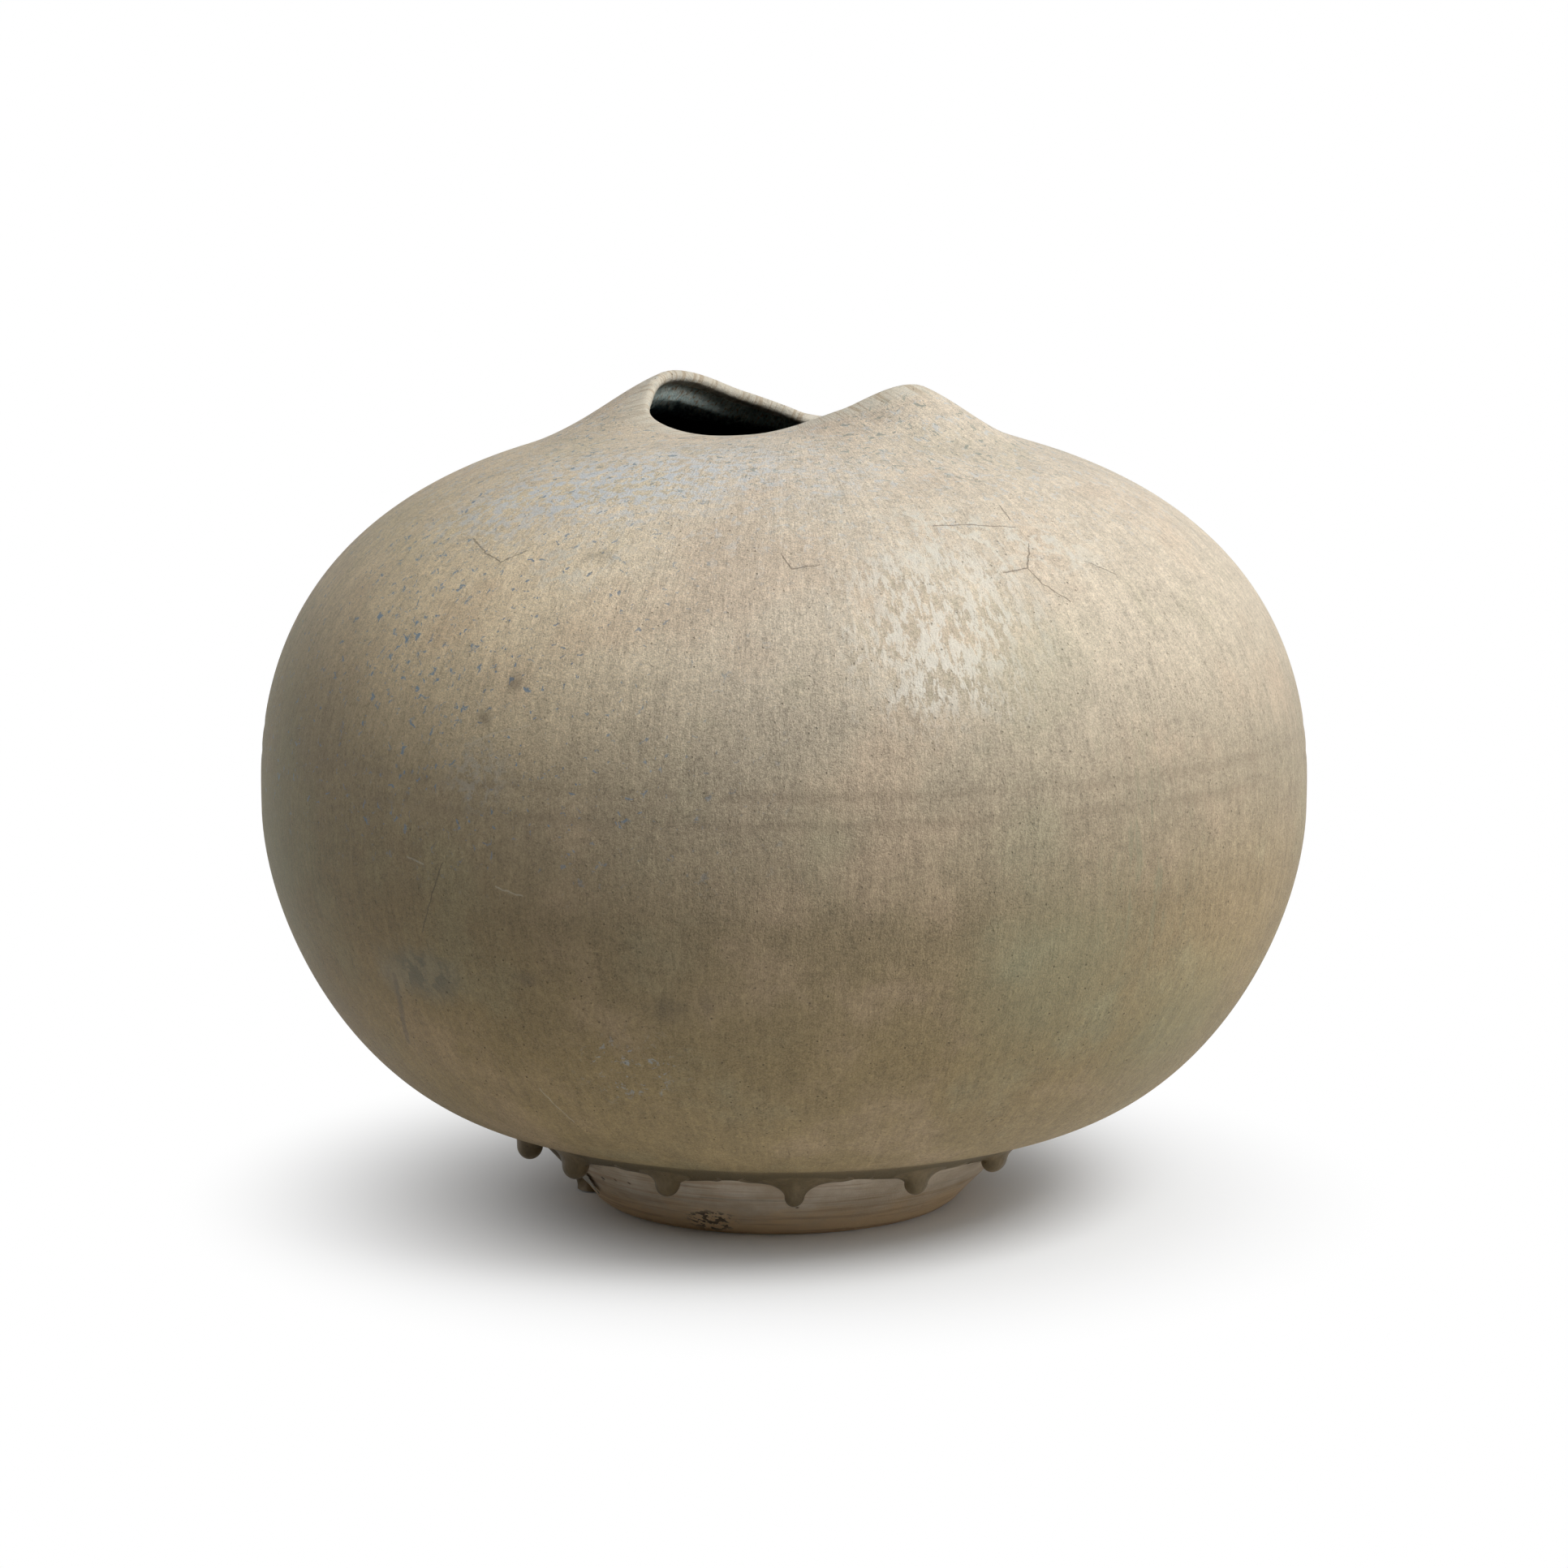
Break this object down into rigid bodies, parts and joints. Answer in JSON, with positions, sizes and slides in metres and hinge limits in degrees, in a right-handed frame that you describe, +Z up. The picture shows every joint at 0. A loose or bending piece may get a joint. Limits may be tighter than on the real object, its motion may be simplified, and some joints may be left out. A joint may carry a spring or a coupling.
{
  "type": "globular pot",
  "caption": "Wide globular stoneware pot with a folded mouth that rises to two peaks, matt tan glaze with runs along its lower edge, on a small flaring bare foot.",
  "frame": {"origin": "centre of the pot's footprint box, on the ground under the foot ring", "axes": "+Z up along the pot's axis, -Y towards the pictured front, +X to its right"},
  "size_m": [0.4, 0.4, 0.3175],
  "materials": {
    "bare_clay": "unglazed buff stoneware, dry and matt",
    "slip": "fired slip, dry and matt",
    "matt_glaze": "matt tan glaze with fine upright streaks",
    "gloss_glaze": "glossy blue-grey glaze",
    "run_glaze": "thick brown glaze, satin",
    "label_paper": "plain matt paper"
  },
  "bodies": {
    "root": {"foot_ring": "bare_clay", "foot_slip": "slip", "lower_bowl": "bare_clay", "belly_joint_coil": "slip", "upper_bowl": "bare_clay", "collar_slip": "slip", "mouth_collar": "bare_clay", "outer_glaze": "matt_glaze", "inner_glaze": "gloss_glaze", "glaze_run_far_left": "run_glaze", "glaze_run_left": "run_glaze", "glaze_run_front_left": "run_glaze", "glaze_run_front": "run_glaze", "glaze_run_front_right": "run_glaze", "glaze_run_right": "run_glaze", "glaze_run_back_right": "run_glaze", "glaze_run_rear_right": "run_glaze", "glaze_run_rear": "run_glaze", "glaze_run_rear_left": "run_glaze", "glaze_run_back_left": "run_glaze", "glaze_run_long": "run_glaze", "paper_label": "label_paper"}
  },
  "joints": []
}
